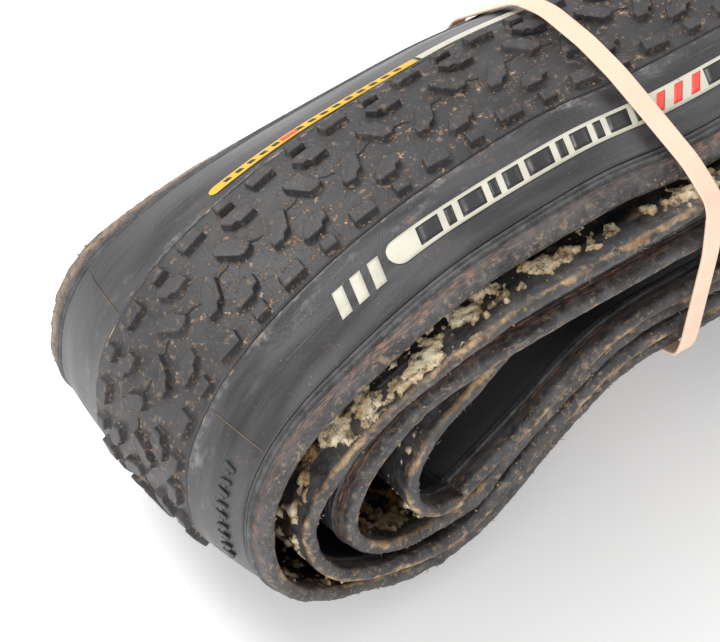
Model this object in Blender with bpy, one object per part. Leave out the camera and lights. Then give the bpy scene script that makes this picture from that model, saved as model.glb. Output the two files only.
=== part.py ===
"""Folded bicycle tire in a rubber band.

A folding-bead tubeless cyclocross tire, pressed flat to a double strand and rolled up
into an oval bundle with two round ends and a waist, where one flat rubber band holds it.
X runs along the bundle, Y across the strands (the near side is -Y) and +Z is up. The
origin is under the middle of the bundle, on the surface that it lies on.

Every layer of the tire is one loft: its cross-section is carried round the closed crown
path of the tire, so that the layers stay nested through every fold.
Lengths here are in millimetres; the meshes are made in metres.
"""
import math
from itertools import takewhile

import bmesh
import bpy
from mathutils import Vector

MM = 0.001

# Driving dimensions of the flattened tire
HALF_WIDTH = 43.5        # crown to bead toe, along the casing
TREAD_HALF = 17.5        # crown to the parting line of tread and sidewall
KNOB_HEIGHT = 1.8        # knob tops above the tread's base surface
ARCH_POWER = 2.3         # how the section's arch steepens towards the beads
FLAT_CROWN_HALF = 7.0    # the middle of the tread, which is straight across
CASING_HALF = 36.0       # where the casing and the liner meet the bead

# The bundle's waist, where the band sits
WAIST_X = 125.0
WAIST_RISE = 30.0        # how far the lower run lifts off the table there
WAIST_SEAT = 10.0        # half length of the straight seat under the band
WAIST_REACH = 67.0       # from the waist to where the lower run lies flat

# Strands of the lower run, outermost first: height of the crown above the outermost
# strand, which side the beads lie on, and how much less they rise than its own beads
LOWER_STRANDS = {"outer": (0.0, 1, 0.0), "second": (7.3, -1, 0.0),
                 "middle": (11.7, 1, 1.7), "innermost": (18.9, -1, 1.7)}
LOWER_ARCH = 9.5         # rise of the outermost strand's beads above its crown
LOWER_X = (58, 75, 91, 108, 125, 142, 159, 175, 192, 206)     # places of its sections

# Rubber band
BAND_X = 120.4           # middle of the band on top of the bundle
BAND_SKEW = 2.6          # how much further along it sits underneath
BAND_WIDTH = 5.0
BAND_THICK = 0.9
BAND_GAP = 0.45
BAND_TRAVEL = 5.0        # the free way each way along the seat
CORNER_ROOM = 0.75       # added to the gap, as evening out the outline cuts its corners
OUTLINE_POINTS = 120
SEAT_MARGIN = 1.5

# Layer surfaces, measured outwards from the tread's base surface
CAP_INNER = -0.9
BELT_OUTER, BELT_INNER = -1.1, -1.4
CASING_OUTER, CASING_INNER = -1.6, -1.9
LINER_OUTER, LINER_INNER = -2.1, -2.4
SIDEWALL_INNER = -1.4
LABEL_INNER, LABEL_OUTER = 0.35, 0.55

# Section points that every layer shares, so that their facets stay parallel
GRID = (-HALF_WIDTH, -CASING_HALF, -TREAD_HALF, -FLAT_CROWN_HALF,
        FLAT_CROWN_HALF, TREAD_HALF, CASING_HALF, HALF_WIDTH)


def waist_lift(x):
    """0 where the lower run lies flat, 1 at the waist."""
    away = max(abs(x - WAIST_X) - WAIST_SEAT, 0.0) / (WAIST_REACH - WAIST_SEAT)
    return 0.5 + 0.5 * math.cos(math.pi * min(away, 1.0))


def lower_points(strand, xs):
    """Crown points of one strand of the lower run, square above those of the outermost."""
    level, side, less = LOWER_STRANDS[strand]
    arch = side * (LOWER_ARCH - less)
    points = []
    for x in xs:
        lift = waist_lift(x)
        slope = WAIST_RISE * (waist_lift(x + 0.5) - waist_lift(x - 0.5))
        steep = math.hypot(1.0, slope)
        z = KNOB_HEIGHT + WAIST_RISE * lift + level / steep
        points.append((x - level * slope / steep, z, arch, arch, 0))
    return points


def crown_points():
    """The closed crown path: x, z, drop of the near and of the far bead, shift in y.

    It is followed with the tread on its right. A drop is positive where the bead lies
    on the inner side of the crown.
    """
    outer_top = [
        (236, 92.5, 1, 1, 0), (222, 95.5, 3, 6, 0), (203, 99, 6, 13, 0), (178, 103, 7, 17.6, 0),
        (150, 104, 8, 21.2, 0), (125, 104, 9, 22.6, 0), (100, 105.5, 7, 22.8, 0),
        (67, 103, 6, 22, 0), (48, 99, 7, 20.3, 0), (31, 92.5, 8, 17.5, 0), (17, 84, 6, 14.4, 0),
        (7.5, 74, 5, 11, 0), (2, 62, 5, 9, 0), (1, 49, 5, 7, 0), (3.5, 36, 5, 5, 0),
        (10, 24.5, 5.5, 5, 0), (20, 15, 7, 6, 0), (31, 7.7, 9, 8, 0), (42, 2.9, 9.5, 9.5, 0),
        (50, KNOB_HEIGHT, LOWER_ARCH, LOWER_ARCH, 0)]
    outer_bottom = lower_points("outer", LOWER_X)
    right_fold = [
        (218, KNOB_HEIGHT, LOWER_ARCH, LOWER_ARCH, 0), (232, 3.9, 8, 8, 0), (244, 10.5, 6, 6, 0),
        (253, 20.5, 5, 5, 0), (258, 32.5, 4, 4, 0), (257, 46, 4, 4, 0), (250, 59, 3, 3, 0)]
    middle_top = [
        (238, 69.5, 2, 3, 0), (220, 76, 2, 5, -2), (197, 80.5, 2, 8, -4), (160, 82.5, 2, 11, -6),
        (110, 82.5, 2, 11, -6), (73, 80.5, 2, 10, -5), (58, 77, 1, 7, -4),
        (46, 71.5, 1, 4, -2), (37, 65, 2, 3, -1), (30, 57, 3, 3, 0), (25.5, 47, 3, 3, 0),
        (25.5, 37.5, 3, 3, 0), (29.3, 28.7, 4, 4, 0), (36.3, 21, 6, 6, 0),
        (46, 15.6, 8, 8, 0), (58, 14.8, 8.5, 8.5, 0)]
    middle_bottom = lower_points("middle", LOWER_X[1:7]) + [(176, 25, 7, 7, 0)]
    inner_end = [(186, 22.5, 4, 4, 0), (194, 26, 1, 1, 0), (194, 33, -2, -2, 0),
                 (186, 36.5, -5, -5, 0)]
    innermost = lower_points("innermost", LOWER_X[6:1:-1]) + [
        (62, 25.8, -7.5, -7.5, 0), (55, 27.3, -4.5, -4.5, 0), (50.3, 31.5, -2, -2, 0),
        (48.5, 38, 1, 1, 0), (50, 45.5, 3, 2, 0), (55, 52, 4, 2, 0), (63, 57.5, 4, 2, 0),
        (76, 62.5, 4, -3, 2), (98, 67.5, 4, -8, 3), (125, 69.5, 3, -9, 3),
        (160, 71, 2, -9.5, 3), (190, 70, 2, -8, 2), (212, 65, 1, -3, 1), (229, 58, 1, 0, 0)]
    inner_fold = [(239.5, 50, 1, 1, 0), (245, 41, 0, 0, 0), (245.5, 31, -1.5, -1.5, 0),
                  (240.5, 20.5, -4.5, -4.5, 0), (230.5, 13.3, -8, -8, 0), (218, 9.4, -9.5, -9.5, 0)]
    second_bottom = lower_points("second", LOWER_X[::-1])
    second_top = [
        (49, 9.4, -9.5, -9.5, 0), (39, 13.8, -8, -8, 0), (30.5, 20.5, -5, -5, 0),
        (24, 28, -2.5, -2.5, 0), (20.5, 38, 0, 0, 0), (21, 48, 2, 0, 0), (25.5, 59, 2, -2, -1),
        (34, 68.5, 2, -4, -2), (45, 76.5, 2, -6, -4), (58, 82, 3, -8.8, -6),
        (75, 85.8, 3, -11.5, -7), (110, 86.6, 3, -12, -7), (160, 87, 3, -12, -6),
        (192, 86.4, 2, -9, -4), (214, 82.6, 1, -5, -2), (228, 78.6, 0, -1, -1)]
    outer_end = [(238, 76.8, 0, 0, -1), (244.5, 80.5, 0, 0, 0), (244.5, 88, 0, 0, 0)]
    return (outer_top + outer_bottom + right_fold + middle_top + middle_bottom + inner_end
            + innermost + inner_fold + second_bottom + second_top + outer_end)


class Station:
    """One cross-section: crown place, outward normal, arch of each side and shift."""

    def __init__(self, before, here, after):
        self.x, self.z, self.near, self.far, self.shift = here
        arriving, leaving = heading(before, here), heading(here, after)
        tangent = heading((0.0, 0.0), (arriving[0] + leaving[0], arriving[1] + leaving[1]))
        self.normal = (tangent[1], -tangent[0])

    def surface(self, w, offset):
        """Point at width w of a grid line, offset outwards along the section's normal."""
        arch = self.near if w < 0 else self.far
        reach = abs(w) / HALF_WIDTH
        chord = 1.0 - 2.0 / 3.0 * (arch / HALF_WIDTH) ** 2
        drop = arch * reach ** ARCH_POWER
        slope = arch * ARCH_POWER * reach ** (ARCH_POWER - 1.0) / (HALF_WIDTH * chord)
        steep = math.hypot(1.0, slope)
        side = math.copysign(1.0, w)
        rise = offset / steep - drop
        y = self.shift + w * chord + side * offset * slope / steep
        return Vector((self.x + self.normal[0] * rise, y, self.z + self.normal[1] * rise))

    def point(self, w, offset):
        """Point at any width w, on the facet between the two grid lines beside it."""
        for low, high in zip(GRID, GRID[1:]):
            if w <= high or high == GRID[-1]:
                share = (w - low) / (high - low)
                return self.surface(low, offset).lerp(self.surface(high, offset), share)


def heading(start, end):
    """Unit vector from one place of the XZ plane towards another."""
    dx, dz = end[0] - start[0], end[1] - start[1]
    length = math.hypot(dx, dz)
    return dx / length, dz / length


def stations():
    """The sections round the tire, one at each point of the crown path."""
    points = crown_points()
    return [Station(points[i - 1], here, points[(i + 1) % len(points)])
            for i, here in enumerate(points)]


def material(name, colour, roughness):
    """Rubber-like material of one colour."""
    made = bpy.data.materials.new(name)
    made.use_nodes = True
    shader = made.node_tree.nodes["Principled BSDF"]
    shader.inputs["Base Color"].default_value = (*colour, 1.0)
    shader.inputs["Roughness"].default_value = roughness
    shader.inputs["Metallic"].default_value = 0.0
    return made


def add_quad(mesh_data, a, b, c, d):
    """Two triangles, split the same way in every layer: out from the crown."""
    if abs(a.co.y) < abs(b.co.y):
        triangles = (a, b, c), (a, c, d)
    else:
        triangles = (a, b, d), (b, c, d)
    for triangle in triangles:
        mesh_data.faces.new(triangle)


def loft(name, rings, closed, finish, collection):
    """Solid from equal rings of points; an open loft gets a cap at each end."""
    mesh_data = bmesh.new()
    rows = [[mesh_data.verts.new(point * MM) for point in ring] for ring in rings]
    size = len(rings[0])
    last = len(rows) if closed else len(rows) - 1
    for i in range(last):
        row, following = rows[i], rows[(i + 1) % len(rows)]
        for k in range(size):
            add_quad(mesh_data, row[k], row[(k + 1) % size], following[(k + 1) % size],
                     following[k])
    if not closed:
        mesh_data.faces.new(rows[0])
        mesh_data.faces.new(rows[-1])
    bmesh.ops.recalc_face_normals(mesh_data, faces=mesh_data.faces)
    mesh = bpy.data.meshes.new(name)
    mesh_data.to_mesh(mesh)
    mesh_data.free()
    mesh.materials.append(finish)
    thing = bpy.data.objects.new(name, mesh)
    collection.objects.link(thing)
    return thing


def layer(name, section, finish, collection, sections):
    """A layer that runs right round the tire, from its (width, offset) outline."""
    rings = [[s.point(w, offset) for w, offset in section] for s in sections]
    return loft(name, rings, True, finish, collection)


def strip(widths, outer, inner):
    """Outline of a thin layer over the given widths."""
    return [(w, outer) for w in widths] + [(w, inner) for w in reversed(widths)]


def mirrored(section, side):
    """The outline on the near side (-1) or on the far side (1)."""
    return [(side * w, offset) for w, offset in section]


def make_tire(sections, collection):
    """All the layers of the tire."""
    tread = material("tread_rubber", (0.045, 0.046, 0.05), 0.75)
    side = material("sidewall_rubber", (0.055, 0.056, 0.062), 0.55)
    worn = material("chafer_rubber", (0.12, 0.10, 0.085), 0.8)
    fabric = material("casing_fabric", (0.16, 0.13, 0.09), 0.9)
    belt = material("belt_fabric", (0.35, 0.30, 0.16), 0.85)
    aramid = material("aramid_cord", (0.75, 0.55, 0.12), 0.7)
    butyl = material("liner_rubber", (0.03, 0.03, 0.033), 0.6)

    middle = (-FLAT_CROWN_HALF, FLAT_CROWN_HALF)
    cap_edge = TREAD_HALF - 0.2
    cap = [(-cap_edge, 1.2), (middle[0], KNOB_HEIGHT), (middle[1], KNOB_HEIGHT),
           (cap_edge, 1.2), (cap_edge, CAP_INNER), (middle[1], CAP_INNER),
           (middle[0], CAP_INNER), (-cap_edge, CAP_INNER)]
    layer("tread_cap", cap, tread, collection, sections)
    belt_edge = TREAD_HALF - 1.0
    layer("breaker_belt", strip((-belt_edge, *middle, belt_edge), BELT_OUTER, BELT_INNER),
          belt, collection, sections)
    across = GRID[1:-1]
    layer("casing_ply", strip(across, CASING_OUTER, CASING_INNER), fabric, collection, sections)
    layer("inner_liner", strip(across, LINER_OUTER, LINER_INNER), butyl, collection, sections)

    sidewall = strip((TREAD_HALF + 0.1, CASING_HALF - 0.1), 0.0, SIDEWALL_INNER)
    chafer = [(36.2, 0.3), (43.3, 0.7), (43.9, -2.9), (36.8, -2.9),
              (36.8, -2.5), (43.2, -2.5), (42.7, 0.25), (36.3, -0.25)]
    core = [(39.7, -0.6), (42.0, -0.6), (42.1, -1.9), (39.8, -1.9)]
    for name, flank in (("near", -1), ("far", 1)):
        for part, outline, finish in (("sidewall", sidewall, side), ("bead_chafer", chafer, worn),
                                      ("bead_core", core, aramid)):
            layer(f"{part}_{name}", mirrored(outline, flank), finish, collection, sections)


def label(name, sections, x_range, widths, finish, collection):
    """A thin transfer on a sidewall of the upper outer run, between two places in x."""
    on_top = list(takewhile(lambda s: s.z > 75.0, sections))
    outline = strip(widths, LABEL_OUTER, LABEL_INNER)
    rings = []
    for right, left in zip(on_top, on_top[1:]):
        ends = [x for x in sorted(x_range, reverse=True) if left.x < x <= right.x]
        if x_range[0] < right.x < x_range[1]:
            rings.append([right.point(w, offset) for w, offset in outline])
        for x in ends:
            share = (right.x - x) / (right.x - left.x)
            rings.append([right.point(w, offset).lerp(left.point(w, offset), share)
                          for w, offset in outline])
    return loft(name, rings, False, finish, collection)


def make_labels(sections, collection):
    """The transfers: a pale strip and an emblem on the near side, a yellow strip on the far."""
    pale = material("pale_transfer", (0.80, 0.78, 0.69), 0.5)
    yellow = material("yellow_transfer", (0.89, 0.54, 0.04), 0.5)
    label("label_strip_near", sections, (50, 196), (-30.0, -23.7), pale, collection)
    label("emblem_near", sections, (34, 47), (-30.6, -24.4), pale, collection)
    label("label_strip_far", sections, (52, 190), (24.6, 28.4), yellow, collection)


def hull(points):
    """Convex outline of points in a plane, anticlockwise."""
    points = sorted(set(points))
    outline = []
    for sweep in (points, points[::-1]):
        chain = []
        for p in sweep:
            while len(chain) > 1 and turn_of(chain[-2], chain[-1], p) <= 0:
                chain.pop()
            chain.append(p)
        outline += chain[:-1]
    return outline


def turn_of(a, b, c):
    """Positive where a, b, c turn left."""
    return (b[0] - a[0]) * (c[1] - a[1]) - (b[1] - a[1]) * (c[0] - a[0])


def seat_outline(sections):
    """Convex outline of the bundle across the seat of the band."""
    reach = BAND_WIDTH / 2 + BAND_TRAVEL + SEAT_MARGIN
    low, high = BAND_X - reach, BAND_X + BAND_SKEW + reach
    widest = [(-43.9, -2.9), (-43.4, 0.7), (-TREAD_HALF, 1.2), (-FLAT_CROWN_HALF, KNOB_HEIGHT),
              (FLAT_CROWN_HALF, KNOB_HEIGHT), (TREAD_HALF, 1.2), (43.4, 0.7), (43.9, -2.9)]
    points = []
    count = len(sections)
    for i, here in enumerate(sections):
        there = sections[(i + 1) % count]
        for w, offset in widest:
            a, b = here.point(w, offset), there.point(w, offset)
            for k in range(9):
                p = a.lerp(b, k / 8)
                if low < p.x < high:
                    points.append((round(p.y, 3), round(p.z, 3)))
    return hull(points)


def rounded(outline, distance, count):
    """An outline moved outwards by a distance, as evenly spread points."""
    moved = []
    size = len(outline)
    for i, here in enumerate(outline):
        there = outline[(i + 1) % size]
        length = math.hypot(there[0] - here[0], there[1] - here[1])
        out = ((there[1] - here[1]) / length, (here[0] - there[0]) / length)
        moved += [(p[0] + out[0] * distance, p[1] + out[1] * distance) for p in (here, there)]
    sizes = [math.hypot(b[0] - a[0], b[1] - a[1]) for a, b in zip(moved, moved[1:] + moved[:1])]
    total = sum(sizes)
    picked, i, passed = [], 0, 0.0
    for k in range(count):
        goal = total * k / count
        while passed + sizes[i] < goal:
            passed += sizes[i]
            i += 1
        share = (goal - passed) / sizes[i]
        a, b = moved[i], moved[(i + 1) % len(moved)]
        picked.append((a[0] + (b[0] - a[0]) * share, a[1] + (b[1] - a[1]) * share))
    return hull([(round(p[0], 4), round(p[1], 4)) for p in picked])


def make_band(sections, collection):
    """The flat rubber band round the waist."""
    outline = rounded(seat_outline(sections), BAND_GAP + CORNER_ROOM, OUTLINE_POINTS)
    half = BAND_WIDTH / 2
    size = len(outline)
    bottom, top = min(p[1] for p in outline), max(p[1] for p in outline)
    rings = []
    for i, here in enumerate(outline):
        before, after = outline[i - 1], outline[(i + 1) % size]
        span = math.hypot(after[0] - before[0], after[1] - before[1])
        out = ((after[1] - before[1]) / span, (before[0] - after[0]) / span)
        along = BAND_X + BAND_SKEW * (top - here[1]) / (top - bottom)
        inner = Vector((along, here[0], here[1]))
        outer = inner + Vector((0.0, out[0], out[1])) * BAND_THICK
        side = Vector((half, 0.0, 0.0))
        rings.append([inner - side, inner + side, outer + side, outer - side])
    pink = material("band_rubber", (0.98, 0.72, 0.58), 0.5)
    return loft("rubber_band", rings, True, pink, collection)


def centre_on_origin(things):
    """Move the bundle so that its box stands on the origin, and return the move."""
    corners = [v.co for thing in things for v in thing.data.vertices]
    low = [min(c[k] for c in corners) for k in range(3)]
    high = [max(c[k] for c in corners) for k in range(3)]
    move = Vector((-(low[0] + high[0]) / 2, -(low[1] + high[1]) / 2, -low[2]))
    for thing in things:
        for vertex in thing.data.vertices:
            vertex.co += move
    return move


def main():
    for thing in list(bpy.data.objects):
        bpy.data.objects.remove(thing, do_unlink=True)
    collection = bpy.data.collections.new("folded_bicycle_tire")
    bpy.context.scene.collection.children.link(collection)
    sections = stations()
    make_tire(sections, collection)
    make_labels(sections, collection)
    make_band(sections, collection)
    move = centre_on_origin(list(collection.objects))
    print("sections:", len(sections), "moved by, mm:", move)


main()
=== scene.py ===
"""Looks of the folded bicycle tire in its rubber band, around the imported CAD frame.

Each visible layer is a fine surface carried round the crown path of the tire. A place on
the tire is (s, w, offset): s runs along the crown, w across it from the crown to the beads
(the near side is negative), and offset goes outwards from the tread's base surface.
Lengths are in millimetres until place() returns metres in the row frame.
"""
import math

import bpy
import numpy as np
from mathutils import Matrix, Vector


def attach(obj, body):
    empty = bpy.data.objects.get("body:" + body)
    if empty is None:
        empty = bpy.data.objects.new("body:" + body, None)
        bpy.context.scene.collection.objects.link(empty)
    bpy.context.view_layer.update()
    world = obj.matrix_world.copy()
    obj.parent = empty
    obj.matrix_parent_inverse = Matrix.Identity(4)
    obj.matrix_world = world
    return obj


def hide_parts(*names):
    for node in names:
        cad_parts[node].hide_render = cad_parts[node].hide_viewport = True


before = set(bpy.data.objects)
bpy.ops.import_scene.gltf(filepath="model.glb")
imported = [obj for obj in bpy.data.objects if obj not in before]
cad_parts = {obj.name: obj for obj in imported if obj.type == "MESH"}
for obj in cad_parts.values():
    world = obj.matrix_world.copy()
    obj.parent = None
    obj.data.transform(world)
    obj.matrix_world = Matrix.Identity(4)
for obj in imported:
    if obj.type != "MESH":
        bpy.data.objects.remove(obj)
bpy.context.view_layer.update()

MM = 0.001
rng = np.random.default_rng(7)

# ------ the tire's own shape
ROW_ORIGIN = (129.5, -1.8, 0.1)     # the row frame's origin in the path's coordinates
HALF_WIDTH = 43.5
TREAD_HALF = 17.2
KNOB_HEIGHT = 1.8
ARCH_POWER = 2.3
INNER_FACE = -2.4

WAIST_X = 125.0
WAIST_RISE = 30.0
WAIST_SEAT = 10.0
WAIST_REACH = 67.0
LOWER_STRANDS = {"outer": (0.0, 1, 0.0), "second": (7.3, -1, 0.0),
                 "middle": (11.7, 1, 1.7), "innermost": (18.9, -1, 1.7)}
LOWER_ARCH = 9.5
LOWER_X = (58, 75, 91, 108, 125, 142, 159, 175, 192, 206)


def waist_lift(x):
    """0 where the lower run lies flat, 1 at the waist."""
    away = max(abs(x - WAIST_X) - WAIST_SEAT, 0.0) / (WAIST_REACH - WAIST_SEAT)
    return 0.5 + 0.5 * math.cos(math.pi * min(away, 1.0))


def lower_points(strand, xs):
    """Crown points of one strand of the lower run, square above those of the outermost."""
    level, side, less = LOWER_STRANDS[strand]
    arch = side * (LOWER_ARCH - less)
    points = []
    for x in xs:
        lift = waist_lift(x)
        slope = WAIST_RISE * (waist_lift(x + 0.5) - waist_lift(x - 0.5))
        steep = math.hypot(1.0, slope)
        z = KNOB_HEIGHT + WAIST_RISE * lift + level / steep
        points.append((x - level * slope / steep, z, arch, arch))
    return points


def crown_points():
    """The closed crown path: x, z, drop of the near and of the far bead, shift in y.

    It is followed with the tread on its right. A drop is positive where the bead lies
    on the inner side of the crown. A shift of 0 is left out.
    """
    outer_top = [
        (236, 92.5, 1, 1), (222, 95.5, 3, 6), (203, 99, 6, 13), (178, 103, 7, 17.6),
        (150, 104, 8, 21.2), (125, 104, 9, 22.6), (100, 105.5, 7, 22.8),
        (67, 103, 6, 22), (48, 99, 7, 20.3), (31, 92.5, 8, 17.5), (17, 84, 6, 14.4),
        (7.5, 74, 5, 11), (2, 62, 5, 9), (1, 49, 5, 7), (3.5, 36, 5, 5),
        (10, 24.5, 5.5, 5), (20, 15, 7, 6), (31, 7.7, 9, 8), (42, 2.9, 9.5, 9.5),
        (50, KNOB_HEIGHT, LOWER_ARCH, LOWER_ARCH)]
    outer_bottom = lower_points("outer", LOWER_X)
    right_fold = [
        (218, KNOB_HEIGHT, LOWER_ARCH, LOWER_ARCH), (232, 3.9, 8, 8), (244, 10.5, 6, 6),
        (253, 20.5, 5, 5), (258, 32.5, 4, 4), (257, 46, 4, 4), (250, 59, 3, 3)]
    middle_top = [
        (238, 69.5, 2, 3), (220, 76, 2, 5, -2), (197, 80.5, 2, 8, -4), (160, 82.5, 2, 11, -6),
        (110, 82.5, 2, 11, -6), (73, 80.5, 2, 10, -5), (58, 77, 1, 7, -4),
        (46, 71.5, 1, 4, -2), (37, 65, 2, 3, -1), (30, 57, 3, 3), (25.5, 47, 3, 3),
        (25.5, 37.5, 3, 3), (29.3, 28.7, 4, 4), (36.3, 21, 6, 6),
        (46, 15.6, 8, 8), (58, 14.8, 8.5, 8.5)]
    middle_bottom = lower_points("middle", LOWER_X[1:7]) + [(176, 25, 7, 7)]
    inner_end = [(186, 22.5, 4, 4), (194, 26, 1, 1), (194, 33, -2, -2),
                 (186, 36.5, -5, -5)]
    innermost = lower_points("innermost", LOWER_X[6:1:-1]) + [
        (62, 25.8, -7.5, -7.5), (55, 27.3, -4.5, -4.5), (50.3, 31.5, -2, -2),
        (48.5, 38, 1, 1), (50, 45.5, 3, 2), (55, 52, 4, 2), (63, 57.5, 4, 2),
        (76, 62.5, 4, -3, 2), (98, 67.5, 4, -8, 3), (125, 69.5, 3, -9, 3),
        (160, 71, 2, -9.5, 3), (190, 70, 2, -8, 2), (212, 65, 1, -3, 1), (229, 58, 1, 0)]
    inner_fold = [(239.5, 50, 1, 1), (245, 41, 0, 0), (245.5, 31, -1.5, -1.5),
                  (240.5, 20.5, -4.5, -4.5), (230.5, 13.3, -8, -8), (218, 9.4, -9.5, -9.5)]
    second_bottom = lower_points("second", LOWER_X[::-1])
    second_top = [
        (49, 9.4, -9.5, -9.5), (39, 13.8, -8, -8), (30.5, 20.5, -5, -5),
        (24, 28, -2.5, -2.5), (20.5, 38, 0, 0), (21, 48, 2, 0), (25.5, 59, 2, -2, -1),
        (34, 68.5, 2, -4, -2), (45, 76.5, 2, -6, -4), (58, 82, 3, -8.8, -6),
        (75, 85.8, 3, -11.5, -7), (110, 86.6, 3, -12, -7), (160, 87, 3, -12, -6),
        (192, 86.4, 2, -9, -4), (214, 82.6, 1, -5, -2), (228, 78.6, 0, -1, -1)]
    outer_end = [(238, 76.8, 0, 0, -1), (244.5, 80.5, 0, 0), (244.5, 88, 0, 0)]
    path = (outer_top + outer_bottom + right_fold + middle_top + middle_bottom + inner_end
            + innermost + inner_fold + second_bottom + second_top + outer_end)
    return [(*point, 0)[:5] for point in path]


def spline(points, steps=16):
    """Catmull-Rom curve through a closed list of points."""
    p = np.array(points, float)
    before, after, later = np.roll(p, 1, 0), np.roll(p, -1, 0), np.roll(p, -2, 0)
    parts = []
    for t in np.arange(steps) / steps:
        parts.append(0.5 * (2 * p + (after - before) * t
                            + (2 * before - 5 * p + 4 * after - later) * t ** 2
                            + (3 * p - before - 3 * after + later) * t ** 3))
    return np.stack(parts, 1).reshape(-1, p.shape[1])


PATH = spline(crown_points())
STEP_LENGTHS = np.hypot(*(np.roll(PATH[:, :2], -1, 0) - PATH[:, :2]).T)
TRAVEL = np.concatenate([[0.0], np.cumsum(STEP_LENGTHS)])
LENGTH = TRAVEL[-1]
TANGENT = np.roll(PATH[:, :2], -1, 0) - np.roll(PATH[:, :2], 1, 0)
TANGENT /= np.hypot(*TANGENT.T)[:, None]
TABLE = np.column_stack([PATH, TANGENT[:, 1], -TANGENT[:, 0]])
TABLE = np.vstack([TABLE, TABLE[:1]])


# How far the crown leans to the far side (or the near one, below 0) at stations along it
LEAN_STATIONS = (0, 118, 140, 170, 200, 240, 262, 300, 340)
LEAN = (0.0, 0.0, 0.5, -0.6, -1.8, -3.2, -3.0, -1.4, 0.0)
FAR_HOLD = 0.35         # how much the far bead holds back the lean


def lean(s, w):
    """Sideways shift of the section's middle, fading out fully towards the near bead."""
    held = 1.0 - np.where(w < 0, 1.0, FAR_HOLD) * (w / HALF_WIDTH) ** 2
    return np.interp(s % LENGTH, LEAN_STATIONS, LEAN) * held


def place(s, w, offset, leaning=True):
    """Points of the tire in the row frame, in metres, from broadcastable arrays."""
    s, w, offset = np.broadcast_arrays(np.asarray(s, float), np.asarray(w, float),
                                       np.asarray(offset, float))
    if leaning:
        w = w + lean(s, w)
    x, z, near, far, shift, nx, nz = (np.interp(s % LENGTH, TRAVEL, TABLE[:, k])
                                      for k in range(7))
    size = np.hypot(nx, nz)
    nx, nz = nx / size, nz / size
    arch = np.where(w < 0, near, far)
    reach = np.abs(w) / HALF_WIDTH
    chord = 1.0 - 2.0 / 3.0 * (arch / HALF_WIDTH) ** 2
    slope = arch * ARCH_POWER * reach ** (ARCH_POWER - 1.0) / (HALF_WIDTH * chord)
    steep = np.hypot(1.0, slope)
    rise = offset / steep - arch * reach ** ARCH_POWER
    y = shift + w * chord + np.sign(w) * offset * slope / steep
    return np.stack([(x + nx * rise - ROW_ORIGIN[0]) * MM, (y - ROW_ORIGIN[1]) * MM,
                     (z + nz * rise - ROW_ORIGIN[2]) * MM], -1)


# ------ noise and mesh helpers
LATTICE = rng.random((256, 256))


def grain(x, y, size, seed=0):
    """Smooth noise from 0 to 1 with features of the given size."""
    x = np.asarray(x, float) / size + 37.7 * seed
    y = np.asarray(y, float) / size + 91.3 * seed
    i, j = np.floor(x).astype(int), np.floor(y).astype(int)
    u, v = x - i, y - j
    u, v = u * u * (3 - 2 * u), v * v * (3 - 2 * v)
    a, b = LATTICE[i % 256, j % 256], LATTICE[(i + 1) % 256, j % 256]
    c, d = LATTICE[i % 256, (j + 1) % 256], LATTICE[(i + 1) % 256, (j + 1) % 256]
    return (a * (1 - u) + b * u) * (1 - v) + (c * (1 - u) + d * u) * v


def layered(x, y, size, seed=0):
    """Three octaves of grain, from 0 to 1."""
    return (grain(x, y, size, seed) * 0.55 + grain(x, y, size * 0.45, seed + 1) * 0.3
            + grain(x, y, size * 0.2, seed + 2) * 0.15)


def make_mesh(name, verts, faces, finish, smooth=True):
    """A mesh piece with its material."""
    mesh = bpy.data.meshes.new(name)
    mesh.from_pydata(verts.reshape(-1, 3).tolist(), [], faces)
    mesh.materials.append(finish)
    mesh.polygons.foreach_set("use_smooth", [smooth] * len(mesh.polygons))
    mesh.update()
    thing = bpy.data.objects.new(name, mesh)
    bpy.context.scene.collection.objects.link(thing)
    return thing


def tag(thing, name, values):
    """Store one number per vertex for the material to read."""
    layer = thing.data.attributes.new(name, "FLOAT", "POINT")
    layer.data.foreach_set("value", np.asarray(values, np.float32).ravel())


def thicken(thing, thickness, offset):
    """Give an open sheet a thickness in millimetres."""
    thick = thing.modifiers.new("thickness", "SOLIDIFY")
    thick.thickness = thickness * MM
    thick.offset = offset
    return thing


def grid_faces(rows, columns, wrap_rows=False, wrap_columns=False):
    """Quads of a grid of vertices, as an array of four indices each."""
    i = np.arange(rows if wrap_rows else rows - 1)[:, None]
    k = np.arange(columns if wrap_columns else columns - 1)[None, :]
    i2, k2 = (i + 1) % rows, (k + 1) % columns
    quads = np.stack(np.broadcast_arrays(i * columns + k, i * columns + k2,
                                         i2 * columns + k2, i2 * columns + k), -1)
    return quads.reshape(-1, 4)


def in_range(s, low, high):
    """1 between low and high, fading over 20 mm outside them."""
    return np.clip(np.minimum((s - low) / 20.0 + 1.0, (high - s) / 20.0 + 1.0), 0.0, 1.0)


def numbers_of(thing, name):
    """The numbers that tag() stored."""
    values = np.empty(len(thing.data.vertices), np.float32)
    thing.data.attributes[name].data.foreach_get("value", values)
    return values.astype(float)


def ribbon(name, profile, finish, step, roughen=None):
    """A closed tube of (w, offset) section that runs right round the tire."""
    count = int(LENGTH / step)
    s = np.linspace(0.0, LENGTH, count, endpoint=False)[:, None]
    w, depth = np.array(profile, float).T[:, None]
    offset = depth + 0.0 * s
    if roughen:
        offset = offset + roughen(s, w, offset)
    verts = place(s, w, offset)
    faces = grid_faces(count, len(profile), True, True)
    centre = verts.mean(1, keepdims=True)
    first = np.cross(verts[0, 1] - verts[0, 0], verts[1, 0] - verts[0, 0])
    if np.dot(first, verts[0, 0] - centre[0, 0]) < 0:
        faces = faces[:, ::-1]
    thing = make_mesh(name, verts, faces.tolist(), finish)
    for key, values in (("across", w), ("along", s), ("depth", depth)):
        tag(thing, key, np.broadcast_to(values, offset.shape))
    return thing


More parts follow.
